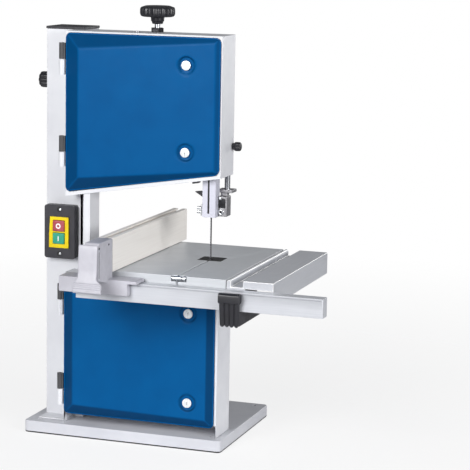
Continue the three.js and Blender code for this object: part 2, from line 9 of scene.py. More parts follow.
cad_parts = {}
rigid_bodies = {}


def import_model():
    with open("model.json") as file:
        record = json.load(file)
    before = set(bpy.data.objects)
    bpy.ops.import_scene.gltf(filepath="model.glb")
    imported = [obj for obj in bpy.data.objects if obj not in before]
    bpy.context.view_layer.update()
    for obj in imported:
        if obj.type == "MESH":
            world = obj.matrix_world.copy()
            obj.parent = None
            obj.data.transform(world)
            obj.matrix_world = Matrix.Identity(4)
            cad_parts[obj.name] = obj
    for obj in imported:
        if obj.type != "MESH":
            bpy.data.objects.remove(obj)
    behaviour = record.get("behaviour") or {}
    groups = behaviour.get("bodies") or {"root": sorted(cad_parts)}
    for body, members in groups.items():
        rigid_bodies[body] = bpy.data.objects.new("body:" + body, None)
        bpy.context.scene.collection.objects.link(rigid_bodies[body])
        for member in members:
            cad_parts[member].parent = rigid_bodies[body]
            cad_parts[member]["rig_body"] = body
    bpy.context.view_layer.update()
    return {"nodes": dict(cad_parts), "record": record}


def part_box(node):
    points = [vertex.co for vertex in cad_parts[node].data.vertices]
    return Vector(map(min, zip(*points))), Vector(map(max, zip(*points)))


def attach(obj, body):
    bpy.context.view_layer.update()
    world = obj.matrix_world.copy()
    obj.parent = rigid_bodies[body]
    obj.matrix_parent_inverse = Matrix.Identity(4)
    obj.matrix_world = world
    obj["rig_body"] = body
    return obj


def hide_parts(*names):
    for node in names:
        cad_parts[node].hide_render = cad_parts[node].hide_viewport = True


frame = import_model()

mm = 0.001
nodes = frame["nodes"]
print("frame loaded:", len(nodes), "nodes")


# finishes: each one starts from the real material and how its surface was made

def linear(hexColour):  # sRGB hex to the linear values that the shader takes
    srgb = np.array([int(hexColour[i:i + 2], 16) for i in (1, 3, 5)]) / 255
    light = np.where(srgb <= 0.04045, srgb / 12.92, ((srgb + 0.055) / 1.055) ** 2.4)
    return (*light.tolist(), 1.0)


def addNode(tree, kind, values=None, links=None, **settings):
    node = tree.nodes.new(kind)
    for key, value in settings.items():
        setattr(node, key, value)
    for key, value in (values or {}).items():
        node.inputs[key].default_value = value
    for key, source in (links or {}).items():
        tree.links.new(source, node.inputs[key])
    return node


def finish(name, colour, roughness, metallic=0.0, ior=None, coat=0.0, coatRoughness=0.1):
    material = bpy.data.materials.new(name)
    material.use_nodes = True
    tree = material.node_tree
    tree.nodes.clear()
    values = {"Base Color": linear(colour), "Roughness": roughness, "Metallic": metallic,
              "Coat Weight": coat, "Coat Roughness": coatRoughness}
    if ior:
        values["IOR"] = ior
    shader = addNode(tree, "ShaderNodeBsdfPrincipled", values)
    addNode(tree, "ShaderNodeOutputMaterial", links={"Surface": shader.outputs["BSDF"]})
    place = addNode(tree, "ShaderNodeTexCoord").outputs["Object"]
    return material, tree, shader, place


def pattern(tree, place, size, low=0.0, high=1.0, detail=2.0, stretch=(1, 1, 1)):
    # noise with grains of a size in mm: first as it is, then with its middle range spread from low to high
    turned = addNode(tree, "ShaderNodeMapping", {"Scale": stretch}, {"Vector": place})
    grain = addNode(tree, "ShaderNodeTexNoise", {"Scale": 1 / (size * mm), "Detail": detail},
                    {"Vector": turned.outputs["Vector"]})
    shown = addNode(tree, "ShaderNodeMapRange",
                    {"From Min": 0.3, "From Max": 0.7, "To Min": low, "To Max": high},
                    {"Value": grain.outputs["Fac"]})
    return grain.outputs["Fac"], shown.outputs["Result"]


def tones(tree, shader, place, size, first, second, detail=3.0, stretch=(1, 1, 1)):
    # two close shades of the finish, mixed by a pattern
    mixed = addNode(tree, "ShaderNodeMix", {6: linear(first), 7: linear(second)},
                    {0: pattern(tree, place, size, 0, 1, detail, stretch)[1]}, data_type="RGBA")
    tree.links.new(mixed.outputs[2], shader.inputs["Base Color"])
    return mixed.outputs[2]


def sheen(tree, shader, place, size, smooth, dull, detail=2.0, stretch=(1, 1, 1)):
    # roughness that drifts between two values
    drift = pattern(tree, place, size, smooth, dull, detail, stretch)[1]
    tree.links.new(drift, shader.inputs["Roughness"])


def relief(tree, shader, place, size, height, detail=1.0, stretch=(1, 1, 1), under=None):
    # bumps of a size with height in mm between valley and crest, on top of those under them
    grain = pattern(tree, place, size, 0, 1, detail, stretch)[0]
    links = {"Height": grain, "Normal": under} if under else {"Height": grain}
    bump = addNode(tree, "ShaderNodeBump", {"Strength": 1.0, "Distance": height * mm}, links)
    tree.links.new(bump.outputs["Normal"], shader.inputs["Normal"])
    return bump.outputs["Normal"]


def powderCoat(name, shade, deeper, roughness=0.42):
    # sprayed and baked polyester powder: a fine orange peel about 1.2 mm across that softens every highlight
    material, tree, shader, place = finish(name, shade, roughness, ior=1.5)
    tones(tree, shader, place, 60, shade, deeper)
    sheen(tree, shader, place, 9, roughness - 0.05, roughness + 0.07)
    relief(tree, shader, place, 1.2, 0.012)
    return material


def baseCoat(name, shade, deeper):
    # the same powder coat on the base pan, whose lowest 2.6 mm are painted near black: a painted contact
    # shadow along the foot
    material, tree, shader, place = finish(name, shade, 0.45, ior=1.5)
    coat = tones(tree, shader, place, 60, shade, deeper)
    height = addNode(tree, "ShaderNodeSeparateXYZ", links={"Vector": place}).outputs["Z"]
    # painted contact shadow: near black below 2.4 mm, blending back into the coat by 2.7 mm
    strip = addNode(tree, "ShaderNodeMapRange",
                    {"From Min": 2.4 * mm, "From Max": 2.7 * mm, "To Min": 1.0, "To Max": 0.0},
                    {"Value": height})
    foot = addNode(tree, "ShaderNodeMix", {7: linear("#1b1b1d")},
                   {0: strip.outputs["Result"], 6: coat}, data_type="RGBA")
    tree.links.new(foot.outputs[2], shader.inputs["Base Color"])
    relief(tree, shader, place, 1.2, 0.012)
    return material


def doorEnamel(name, shade, deeper, paintedShadeAndFade):
    # sprayed semi-gloss enamel on deep-drawn sheet: smooth, with long faint waves and a thin clear top film;
    # the pressed slopes are mixed towards a darker colour the more they turn away from the front: painted
    # shade
    material, tree, shader, place = finish(name, shade, 0.44, ior=1.5, coat=0.02, coatRoughness=0.24)
    shader.inputs["Specular IOR Level"].default_value = 0.06
    coat = tones(tree, shader, place, 45, shade, deeper)
    normal = addNode(tree, "ShaderNodeTexCoord").outputs["Normal"]
    facing = addNode(tree, "ShaderNodeSeparateXYZ", links={"Vector": normal}).outputs["Y"]
    upright = addNode(tree, "ShaderNodeMath", links={0: facing}, operation="ABSOLUTE")
    # painted shade: faces that turn away from the front take more of the dark slope colour
    slope = addNode(tree, "ShaderNodeMapRange",
                    {"From Min": 0.84, "From Max": 0.985, "To Min": 1.0, "To Max": 0.0},
                    {"Value": upright.outputs[0]})
    withPaintedShade = addNode(tree, "ShaderNodeMix", {7: linear(paintedShadeAndFade)},
                      {0: slope.outputs["Result"], 6: coat}, data_type="RGBA")
    tree.links.new(withPaintedShade.outputs[2], shader.inputs["Base Color"])
    sheen(tree, shader, place, 14, 0.4, 0.5)
    waves = relief(tree, shader, place, 30, 0.05)
    relief(tree, shader, place, 1.6, 0.006, under=waves)
    return material


def groundAluminium(name, shade, deeper, across=(1, 1, 1), metallic=0.2, roughness=0.46):
    # cast plate ground flat: fine parallel cutter lines, drawn 0.8 mm apart so that they show, dull patches
    material, tree, shader, place = finish(name, shade, roughness, metallic)
    tones(tree, shader, place, 0.8, shade, deeper, 2, across)
    sheen(tree, shader, place, 25, roughness - 0.06, roughness + 0.08, 4)
    relief(tree, shader, place, 0.8, 0.008, 2, across)
    return material


def anodised(name, shade, deeper, along, metallic=0.15, roughness=0.38):
    # drawn through a die and anodised satin: die lines about 1 mm apart that run the whole length
    stretch = {"x": (0.01, 1, 1), "y": (1, 0.01, 1), "z": (1, 1, 0.01)}[along]
    material, tree, shader, place = finish(name, shade, roughness, metallic)
    tones(tree, shader, place, 1.0, shade, deeper, 3, stretch)
    sheen(tree, shader, place, 30, roughness - 0.05, roughness + 0.06)
    relief(tree, shader, place, 1.0, 0.006, 3, stretch)
    return material


def mouldedPlastic(name, shade, deeper, roughness=0.5, grain=0.7, height=0.02):
    # injection moulded in a spark-eroded tool: an even fine pebble that breaks up the gloss
    material, tree, shader, place = finish(name, shade, roughness, ior=1.52)
    tones(tree, shader, place, 12, shade, deeper)
    sheen(tree, shader, place, 6, roughness - 0.06, roughness + 0.08)
    relief(tree, shader, place, grain, height)
    return material


def steel(name, shade, deeper, roughness=0.28, along=None, metallic=1.0):
    # turned or rolled steel: tight tool marks along one way, and faint clouding from handling and oil
    stretch = {"x": (0.02, 1, 1), "y": (1, 0.02, 1), "z": (1, 1, 0.02)}.get(along, (1, 1, 1))
    material, tree, shader, place = finish(name, shade, roughness, metallic)
    tones(tree, shader, place, 8, shade, deeper)
    sheen(tree, shader, place, 0.5, roughness - 0.08, roughness + 0.12, 2, stretch)
    relief(tree, shader, place, 0.5, 0.004, 2, stretch)
    return material


def castMetal(name, shade, deeper, metallic=0.7, roughness=0.5):
    # pressure die casting straight from the tool, tumbled: soft pits 1.5 mm apart and uneven sheen
    material, tree, shader, place = finish(name, shade, roughness, metallic)
    tones(tree, shader, place, 5, shade, deeper, 4)
    sheen(tree, shader, place, 4, roughness - 0.1, roughness + 0.1)
    relief(tree, shader, place, 1.5, 0.05, 3)
    return material


finishes = {
    "framePowder": powderCoat("powderCoatedSheetSilverGrey", "#e0e1e5", "#d8d9de"),
    "basePowder": baseCoat("powderCoatedBaseWithPaintedFootShadow", "#d0d1d6", "#c6c7cd"),
    "guardPowder": powderCoat("powderCoatedGuardLilacGrey", "#d2d2de", "#c8c8d5", 0.38),
    "hingeBlack": powderCoat("powderCoatedHingeBlack", "#4a4a4c", "#3c3c3e", 0.45),
    # the door's last colour is the painted shade on its pressed slopes
    "doorBlue": doorEnamel("sprayedDoorEnamelBlueWithPaintedShade", "#00538c", "#004e86", "#003964"),
    "tableGround": groundAluminium("groundCastAluminiumTop", "#858388", "#7d7b80", (0.02, 1, 1)),
    "tableEdge": anodised("milledAluminiumEdge", "#cdd0d4", "#c1c4c8", "x", 0.15, 0.42),
    "railAnodised": anodised("anodisedRailSatin", "#c8cacf", "#bdbfc5", "x"),
    "fenceAnodised": anodised("anodisedFenceWarmSatin", "#fbf7f1", "#f3eee8", "y", 0.02, 0.4),
    "stripGround": groundAluminium("groundExtensionStrip", "#838185", "#7a797c", (1, 0.02, 1)),
    "stripEdge": anodised("anodisedExtensionEdge", "#c9cbd0", "#bdbfc5", "y", 0.15, 0.36),
    # near white on the extension's lip and rounded edges: a painted highlight
    "lipPaintedHighlight": anodised("extensionLipPaintedHighlight", "#fbfbfa", "#f1f1f0", "y", 0.1, 0.2),
    "abs": mouldedPlastic("mouldedAbsBlackAndPaintedShade", "#2c2b31", "#232227"),
    "switchAbs": mouldedPlastic("mouldedSwitchPlateBlack", "#38373d", "#2e2d33", 0.42),
    "grip": mouldedPlastic("mouldedPhenolicGripBlack", "#232329", "#19191e", 0.36, 0.9, 0.015),
    "insert": mouldedPlastic("mouldedInsertBlackAndPaintedShade", "#1a1a1b", "#121213", 0.55),
    "nylon": mouldedPlastic("mouldedNylonLilacGrey", "#bbbac2", "#b3b2ba", 0.46, 0.9, 0.012),
    "yellow": mouldedPlastic("mouldedSwitchFrameYellow", "#f2d500", "#e4c600", 0.34, 0.8, 0.006),
    "red": mouldedPlastic("mouldedStopButtonRed", "#b0525a", "#a2464e", 0.3, 0.8, 0.005),
    "green": mouldedPlastic("mouldedStartButtonGreen", "#3aa588", "#2f967a", 0.3, 0.8, 0.005),
    "white": mouldedPlastic("printedSymbolWhite", "#f4f1f1", "#eae6e6", 0.4, 0.8, 0.004),
    "rubber": mouldedPlastic("vulcanisedTyreRubber", "#1d1d1e", "#161617", 0.75, 0.6, 0.03),
    "zinc": steel("zincPlatedTurnedSteel", "#e6e8ea", "#d2d5d8", 0.24),
    "lockZinc": steel("zincPlatedLockHead", "#f6f7f8", "#e8eaec", 0.3, None, 0.35),
    "bright": steel("groundBrightSteel", "#c9ccd0", "#b6b9be", 0.26, "z"),
    "blackSteel": steel("blackenedSteel", "#3a3a3d", "#2a2a2d", 0.42, None, 0.8),
    "bladeSteel": steel("rolledSpringSteelBlade", "#55555a", "#434347", 0.34, "z"),
    "wheelCast": castMetal("dieCastWheelAluminium", "#c2c4c8", "#b0b2b6", 0.85, 0.38),
    "dieCast": castMetal("tumbledDieCastZinc", "#a8a7aa", "#858487", 0.75, 0.42),
    "motorPaint": powderCoat("paintedMotorHousingBlack", "#2b2b2f", "#222226", 0.5),
}
print("finishes mixed:", len(finishes))


# mesh tools: all points are in mm here and become metres in putMesh

def putMesh(name, points, faces, body, look, stands=(), crease=35):
    mesh = bpy.data.meshes.new(name)
    mesh.from_pydata((np.asarray(points).reshape(-1, 3) * mm).tolist(), [], faces)
    made = bmesh.new()
    made.from_mesh(mesh)
    bmesh.ops.remove_doubles(made, verts=made.verts, dist=0.0005 * mm)
    bmesh.ops.recalc_face_normals(made, faces=made.faces)
    made.to_mesh(mesh)
    made.free()
    return showPiece(name, mesh, body, look, stands, crease)


def showPiece(name, mesh, body, look, stands=(), crease=35):
    mesh.shade_smooth()
    mesh.set_sharp_from_angle(angle=np.radians(crease))
    mesh.materials.clear()
    for key in [look] if isinstance(look, str) else look:
        mesh.materials.append(finishes[key])
    piece = bpy.data.objects.new(name, mesh)
    bpy.context.scene.collection.objects.link(piece)
    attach(piece, body)
    if stands:
        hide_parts(*stands)
    return piece


def gridFaces(rows, columns, closed=False):  # quads between neighbouring rows, joined round when closed
    index = np.arange(rows * columns).reshape(rows, columns)
    if closed:
        index = np.concatenate([index, index[:, :1]], axis=1)
    quads = np.stack([index[:-1, :-1], index[:-1, 1:], index[1:, 1:], index[1:, :-1]], -1)
    return quads.reshape(-1, 4).tolist()


def endCaps(rows, count):  # one flat face over the first ring and one over the last
    return [list(range(count)), list(range((rows - 1) * count, rows * count))]


def softCorners(points, radius, steps=4, closed=False):
    # each corner becomes a parabola that starts and ends a radius away from it
    p = np.asarray(points, float)
    reach = []
    for neighbour in (np.roll(p, 1, 0), np.roll(p, -1, 0)):
        side = neighbour - p
        length = np.maximum(np.linalg.norm(side, axis=1, keepdims=True), 1e-9)
        reach.append((p + side / length * np.minimum(radius, 0.45 * length))[:, None])
    t = np.linspace(0, 1, steps)[None, :, None]
    curve = (1 - t) ** 2 * reach[0] + 2 * t * (1 - t) * p[:, None] + t ** 2 * reach[1]
    if not closed:
        curve[0], curve[-1] = p[0], p[-1]
    return curve.reshape(-1, p.shape[1])


axes = {"x": ((0, 1, 0), (0, 0, 1), (1, 0, 0)), "y": ((0, 0, 1), (1, 0, 0), (0, 1, 0)),
        "z": ((1, 0, 0), (0, 1, 0), (0, 0, 1))}


def turnedPiece(name, centre, axis, profile, body, look, stands=(), flutes=0, depth=0, bite=8,
                soft=0.8, steps=96):
    # a profile of radius and height turned about an axis, its radius pressed in by a wave round the rim:
    # radius x (1 - depth x wave^bite), where wave = |cos(flutes x angle / 2)|, only on the outer half
    across, up, along = (np.array(v, float) for v in axes[axis])
    radius, height = softCorners(profile, soft).T
    angle = np.linspace(0, 2 * np.pi, steps, endpoint=False)
    wave = np.abs(np.cos(flutes * angle / 2)) ** bite if flutes else 0 * angle
    outer = np.clip((radius / radius.max() - 0.55) / 0.25, 0, 1)
    r = radius[:, None] * (1 - depth * outer[:, None] * wave[None])
    points = (np.asarray(centre, float) + r[..., None] * (np.cos(angle)[:, None] * across
              + np.sin(angle)[:, None] * up) + height[:, None, None] * along)
    return putMesh(name, points, gridFaces(*r.shape, closed=True), body, look, stands)


def sweptPiece(name, outline, axis, low, high, body, look, stands=(), soft=0.8, corner=1.0,
               crease=35):
    # a closed outline carried along an axis; at both ends it steps inwards along its normals on a quarter
    # circle
    across, up, along = (np.array(v, float) for v in axes[axis])
    ring = softCorners(outline, corner, 5, True)
    tangent = np.roll(ring, -1, 0) - np.roll(ring, 1, 0)
    area = np.sum(ring[:, 0] * np.roll(ring[:, 1], -1) - ring[:, 1] * np.roll(ring[:, 0], -1))
    normal = np.stack([tangent[:, 1], -tangent[:, 0]], 1) * np.sign(area)
    normal /= np.maximum(np.linalg.norm(normal, axis=1, keepdims=True), 1e-9)
    a = np.linspace(0, np.pi / 2, 4)
    inset = np.concatenate([soft * (1 - np.sin(a)), soft * (1 - np.sin(a))[::-1]])
    station = np.concatenate([low + soft * (1 - np.cos(a)), high - soft * (1 - np.cos(a))[::-1]])
    flat = ring[None] - normal[None] * inset[:, None, None]
    points = flat[..., :1] * across + flat[..., 1:] * up + station[:, None, None] * along
    rows, count = flat.shape[:2]
    faces = gridFaces(rows, count, closed=True) + endCaps(rows, count)
    return putMesh(name, points, faces, body, look, stands, crease)


def slottedHead(name, centre, axis, radius, rise, body, look, stands=(), slot=0.9, turn=0.0,
                face=-1):
    # a domed disc on a polar grid; a straight slot presses it in wherever |distance across| < half its width
    across, up, along = (np.array(v, float) for v in axes[axis])
    r = radius * np.concatenate([np.linspace(0, 0.97, 22), [0.99, 1.0, 1.0]])
    angle = np.linspace(0, 2 * np.pi, 120, endpoint=False)
    dome = rise * (1 - 0.16 * (r / radius) ** 2)
    dome[-3:] = rise * np.array([0.80, 0.70, 0.0])
    aside = np.abs(r[:, None] * np.cos(angle - turn)[None])
    press = np.clip((slot + 0.25 - aside) / 0.5, 0, 1) * 0.5 * rise
    height = dome[:, None] - np.where(dome[:, None] > 0, press, 0)
    points = (np.asarray(centre, float) + r[:, None, None] * (np.cos(angle)[:, None] * across
              + np.sin(angle)[:, None] * up) + face * height[..., None] * along)
    faces = gridFaces(len(r), len(angle), closed=True)
    return putMesh(name, points, faces, body, look, stands, 30)


def bodyOf(node):
    return nodes[node]["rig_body"]


def slotOf(node):
    return next(part["material_slot"] for part in frame["record"]["subparts"] if part["node"] == node)


def eased(node, look, edge=0.5, shortest=1.8, top=None, rim=None, lip=0, angle=30):
    # a merged copy of the node whose longer edges are rounded over; faces that look up may take a second
    # finish, and the rounded edges with a raised lip on the left, lip mm wide, a third
    mesh = nodes[node].data.copy()
    made = bmesh.new()
    made.from_mesh(mesh)
    bmesh.ops.remove_doubles(made, verts=made.verts, dist=0.002 * mm)
    bmesh.ops.dissolve_limit(made, angle_limit=np.radians(0.6), verts=made.verts, edges=made.edges)
    weight = made.edges.layers.float.new("bevel_weight_edge")
    for e in made.edges:
        turn = e.calc_face_angle(0)
        e[weight] = 1.0 if turn > np.radians(angle) and e.calc_length() > shortest * mm else 0.0
    lipEdge = min(v.co.x for v in made.verts) + lip * mm
    for f in made.faces:
        f.material_index = 1 if top and f.normal.z > 0.9 else 0
        if lip and f.calc_center_median().x < lipEdge and f.normal.z > -0.1:
            f.material_index = 2
    made.to_mesh(mesh)
    made.free()
    looks = [key for key in (look, top, rim) if key]
    piece = showPiece(node + "_eased", mesh, bodyOf(node), looks, [node])
    bevel = piece.modifiers.new("easedEdges", "BEVEL")
    bevel.limit_method = "WEIGHT"
    bevel.width = edge * mm
    bevel.segments = 2
    bevel.use_clamp_overlap = False
    bevel.harden_normals = True
    bevel.material = 2 if rim else -1
    return piece


def middle(node):
    low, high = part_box(node)
    return (np.array(low) + np.array(high)) / 2 / mm


def corners(node):
    low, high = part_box(node)
    return np.array(low) / mm, np.array(high) / mm


# parts that keep their drawn shape: finish and edge radius in mm

easedParts = {
    "base_pan": ("basePowder", 1.5), "column": ("framePowder", 0.7), "column_cap": ("abs", 0.8),
    "throat_guard": ("framePowder", 0.6), "upper_wheel_box": ("framePowder", 0.6),
    "lower_wheel_box": ("framePowder", 0.6), "upper_door_top_hinge": ("hingeBlack", 0.3),
    "upper_door_bottom_hinge": ("hingeBlack", 0.3), "lower_door_top_hinge": ("hingeBlack", 0.3),
    "lower_door_bottom_hinge": ("hingeBlack", 0.3), "upper_wheel": ("wheelCast", 0.4),
    "upper_tyre": ("rubber", 0.2), "upper_axle": ("bright", 0.3), "wheel_hanger": ("blackSteel", 0.6),
    "tension_spindle": ("bright", 0.4), "tension_nut": ("blackSteel", 0.6),
    "lower_wheel": ("wheelCast", 0.4), "lower_tyre": ("rubber", 0.2), "motor_shaft": ("bright", 0.3),
    "guide_post": ("bright", 0.4), "guide_bracket": ("dieCast", 0.9),
    "blade_guard": ("guardPowder", 0.35), "side_guide": ("zinc", 0.3), "guard_tab": ("abs", 0.4),
    "thrust_bearing": ("bright", 0.3), "lower_blade_guide": ("blackSteel", 0.5),
    "switch_box": ("switchAbs", 1.6), "switch_frame": ("yellow", 0.8), "table_insert": ("insert", 0.3),
    "slot_pin": ("zinc", 0.2), "trunnion_segment": ("dieCast", 0.6),
    "trunnion_bracket": ("framePowder", 0.6), "rail_bar": ("railAnodised", 0.4),
    "sliding_rail": ("railAnodised", 0.35), "extension_clamp_body": ("abs", 1.2),
    "fence_profile": ("fenceAnodised", 0.35), "fence_carrier": ("nylon", 1.6),
}
for node, (look, edge) in easedParts.items():
    eased(node, look, edge)
eased("table_top", "tableEdge", 0.7, top="tableGround")
# the lip and the rounded edges of the strip take the near white finish, a painted highlight
eased("table_extension", "stripEdge", 0.7, top="stripGround", rim="lipPaintedHighlight", lip=7.2)
print("eased parts:", len(easedParts) + 2)


def crowded(low, high, count, spots, reach=7.0, gain=4.0):
    # positions from low to high that lie closer together round each spot: density is 1 plus a bell at each
    fine = np.linspace(low, high, 2000)
    density = 1 + sum(gain * np.exp(-((fine - s) / reach) ** 2) for s in spots)
    total = np.concatenate([[0], np.cumsum((density[1:] + density[:-1]) / 2)])
    return np.interp(np.linspace(0, total[-1], count), total, fine)


def softMin(a, b, blend):  # the lower of two heights, rounded over where they cross
    return np.minimum(a, b) - np.maximum(blend - np.abs(a - b), 0) ** 2 / (4 * blend)


def pressedDoor(node, locks, made):
    # height in front of the rim plane = the lowest of four slopes rising from the edges and one leaning
    # plateau, with rounded creases, a flat lip all round and a sunk ring about each lock
    (x0, _, z0), (x1, _, z1) = corners(node)
    spots = [middle(lock) for lock in locks]
    u = crowded(x0, x1, made["across"], [x0, x0 + made["creases"][0], x1 - made["creases"][1], x1]
                + [s[0] for s in spots])
    rowSpots = list(made["rowSpots"]) + [(s[2] - z0) / (z1 - z0) for s in spots]
    v = crowded(0, 1, made["up"], rowSpots, made["rowReach"])
    x, v = np.meshgrid(u, v)
    slant = made["bottomRise"] / (x1 - x0)
    bottom = z0 + slant * (x - x0)
    z = bottom + v * (z1 - bottom)
    r = made["corner"]
    sideX, sideZ = np.where(x < (x0 + x1) / 2, 1, -1), np.where(z < (bottom + z1) / 2, 1, -1)
    p = np.clip(1 - np.minimum(x - x0, x1 - x) / r, 0, 1)
    q = np.clip(1 - np.minimum(z - bottom, z1 - z) / r, 0, 1)
    roundP, roundQ = p * np.sqrt(1 - q ** 2 / 2), q * np.sqrt(1 - p ** 2 / 2)
    x = x + sideX * r * (p - roundP)
    z = z + sideZ * r * (q - roundQ)
    bottom = z0 + slant * (x - x0)
    left, right, top, low = x - x0, x1 - x, z1 - z, (z - bottom) / np.hypot(1, slant)
    toEdge = np.minimum(np.minimum(left, right), np.minimum(top, low))
    toEdge = np.where((roundP > 0) & (roundQ > 0), r * (1 - np.hypot(roundP, roundQ)), toEdge)
    slopes = [made["edge"] + s * np.maximum(d - made["lip"], 0)
              for s, d in zip(made["slopes"], (left, right, top, low))]
    plateau = made["riseLeft"] + (made["riseRight"] - made["riseLeft"]) * (x - x0) / (x1 - x0)
    sides = softMin(slopes[0], slopes[1], made["cornerCrease"])
    ends = softMin(slopes[2], slopes[3], made["cornerCrease"])
    height = softMin(sides, ends, made["crease"])
    height = softMin(height, plateau, made["crease"])
    ramp = np.clip(toEdge / (made["lip"] + made["lipBlend"]), 0, 1)
    height = made["edge"] + (height - made["edge"]) * ramp ** 2 * (3 - 2 * ramp)
    height -= made["roll"] * (1 - np.sqrt(1 - (1 - np.clip(toEdge / made["roll"], 0, 1)) ** 2))
    for s in spots:
        away = np.hypot(x - s[0], z - s[2])
        dish = np.clip((made["dishOut"] - away) / (made["dishOut"] - made["dishIn"]), 0, 1)
        height -= made["dishDepth"] * dish ** 2 * (3 - 2 * dish)
        mark = np.hypot(x - s[0] - made["markAt"][0], z - s[2] - made["markAt"][1])
        height += made["markRise"] * np.exp(-(mark / made["markSize"]) ** 2)
    points = np.stack([x, made["rimY"] - height, z], -1)
    piece = putMesh(node + "_pressed", points, gridFaces(*x.shape), bodyOf(node), "doorBlue",
                    [node], 60)
    facing = np.mean([f.normal.y for f in piece.data.polygons])
    if facing > 0:
        piece.data.flip_normals()
    wall = piece.modifiers.new("sheetThickness", "SOLIDIFY")
    wall.thickness = made["sheet"] * mm
    wall.offset = -1


upperDoor = {"edge": 2.0, "lip": 1.8, "lipBlend": 1.5, "roll": 0.8, "corner": 9, "crease": 1.3,
             "cornerCrease": 1.2, "sheet": 1.3, "across": 150, "up": 150, "rowSpots": (0, 0.09, 0.95, 1),
             "rowReach": 0.035, "riseLeft": 15.4, "riseRight": 5.3, "slopes": (0.50, 0.52, 0.55, 0.63),
             "bottomRise": 41.2, "creases": (27, 9), "dishOut": 15.0, "dishIn": 11.5, "dishDepth": 2.6,
             "markAt": (11.5, 1.5), "markRise": 0.9, "markSize": 1.3}
lowerDoor = {**upperDoor, "riseLeft": 12.9, "riseRight": 9.6, "slopes": (0.58, 0.72, 0.78, 0.62),
             "bottomRise": 0, "creases": (21, 12)}
for made, node in ((upperDoor, "upper_door"), (lowerDoor, "lower_door")):
    made["rimY"] = corners(node)[1][1]
    pressedDoor(node, [node + "_top_lock", node + "_bottom_lock"], made)
print("doors pressed")


def doorLock(node, made):
    x, _, z = middle(node)
    low, high = corners(node)
    front = low[1] + made["sunk"]
    body, slotName = bodyOf(node), slotOf(node)
    slottedHead(node + "_head", (x, front + made["rise"], z), "y", made["radius"], made["rise"], body,
                "lockZinc", [node], made["slot"], made["turn"])
    stem = [(0, front + 1), (made["stem"], front + 1), (made["stem"], high[1] - 1), (0, high[1] - 1)]
    turnedPiece(node + "_stem", (x, 0, z), "y", stem, body, "zinc", soft=0.2, steps=32)
    long, wide, thick = made["bar"]
    bar = [(z - long, x - wide), (z + long, x - wide), (z + long, x + wide), (z - long, x + wide)]
    sweptPiece(node + "_bar", bar, "y", high[1] - thick, high[1], body, "zinc", soft=0.3,
               corner=0.8)


lockMade = {"radius": 7.5, "rise": 2.6, "sunk": 2.2, "slot": 1.0, "turn": np.pi / 2, "stem": 2.8,
            "bar": (9, 2, 3)}
for door in ("upper_door", "lower_door"):
    for place in ("_top_lock", "_bottom_lock"):
        doorLock(door + place, lockMade)
print("locks made")


# knobs: flutes round the rim, how deep (share of the radius), how sharply they bite; profile from the seat
knobs = {
    "tension_knob": {"piece": "tension_knob_fluted", "axis": "z", "flutes": 20, "depth": 0.06, "bite": 4,
                     "soft": 1.6, "steps": 200,
                     "profile": [(0, 0), (8.4, 0), (9.2, 4), (10.4, 4.4), (10.8, 10.6), (13, 11.4),
                                 (23, 11.2),
                                 (26.6, 12.6), (28, 16), (28, 23), (27, 26.2), (22, 27.8), (19, 28.9),
                                 (0, 29)]},
    "tracking_knob": {"piece": "tracking_knob_fluted", "axis": "x", "flutes": 9, "depth": 0.12, "bite": 4,
                      "soft": 0.9, "steps": 108,
                      "profile": [(0, 0), (9, 0), (12.4, 1.4), (13.2, 5), (13.2, 15), (12, 19), (9, 20),
                                  (9, 23.6), (4, 23.7), (4, 44), (0, 44)]},
    "guide_lock_knob": {"piece": "guide_lock_knob_ribbed", "axis": "x", "flutes": 12, "depth": 0.1,
                        "bite": 2, "soft": 0.6, "steps": 96,
                        "profile": [(0, 0), (3, 0), (3, 2.6), (5.2, 2.7), (5.6, 6), (7.2, 7.2), (7.4, 10),
                                    (7.2, 15), (5.8, 16.8), (0, 16.8)]},
    "tilt_lock_knob": {"piece": "tilt_lock_knob_lobed", "axis": "y", "flutes": 6, "depth": 0.16, "bite": 3,
                       "soft": 0.9, "steps": 108,
                       "profile": [(0, 0), (6.5, 0), (6.5, 4.2), (3.4, 4.3), (3.4, 20.4), (9, 20.5),
                                   (9.5, 25), (15.5, 26), (17, 29), (17, 37), (15, 40.4), (0, 40.8)]},
}
for node, made in knobs.items():
    seat = middle(node)
    side = "xyz".index(made["axis"])
    seat[side] = corners(node)[0][side]
    turnedPiece(made["piece"], seat, made["axis"], made["profile"], bodyOf(node), "grip",
                [node], made["flutes"], made["depth"], made["bite"], made["soft"], made["steps"])
print("knobs turned")


motorMade = {
    "flange": [(8.6, 0), (22, 0), (22, 6.4), (58, 6.4), (58, 11), (49, 12.5), (49, 14), (8.6, 14), (8.6, 0)],
    "barrel": [(8.6, 14), (50, 14), (52, 15.6), (52, 72), (8.6, 72), (8.6, 14)], "ribs": 36,
    "ribDepth": 0.04,
    "screws": 4, "screwCircle": 54.6, "screwSeat": 11.2, "screwRadius": 2.6, "screwRise": 1.8,
    "wall": 2.5, "rings": 11, "ringPitch": 3.0, "ringDepth": 1.1, "ringFrom": 38}
motorX, _, motorZ = middle("motor_body")
motorY = corners("motor_body")[0][1]
motorAt = (motorX, motorY, motorZ)
motorBody, motorSlot = bodyOf("motor_body"), slotOf("motor_body")
turnedPiece("motor_flange", motorAt, "y", motorMade["flange"], motorBody, "motorPaint",
            ["motor_body"])
turnedPiece("motor_barrel", motorAt, "y", motorMade["barrel"], motorBody, "motorPaint", (),
            motorMade["ribs"], motorMade["ribDepth"], 2, 0.6, 432)
for count in range(motorMade["screws"]):
    a = np.pi / 4 + count * 2 * np.pi / motorMade["screws"]
    spot = (motorX + motorMade["screwCircle"] * np.cos(a), motorY + motorMade["screwSeat"],
            motorZ + motorMade["screwCircle"] * np.sin(a))
    slottedHead("motor_screw_" + str(count + 1), spot, "y", motorMade["screwRadius"], motorMade["screwRise"],
                motorBody, "zinc", slot=0.4, turn=0.5 + count, face=1)
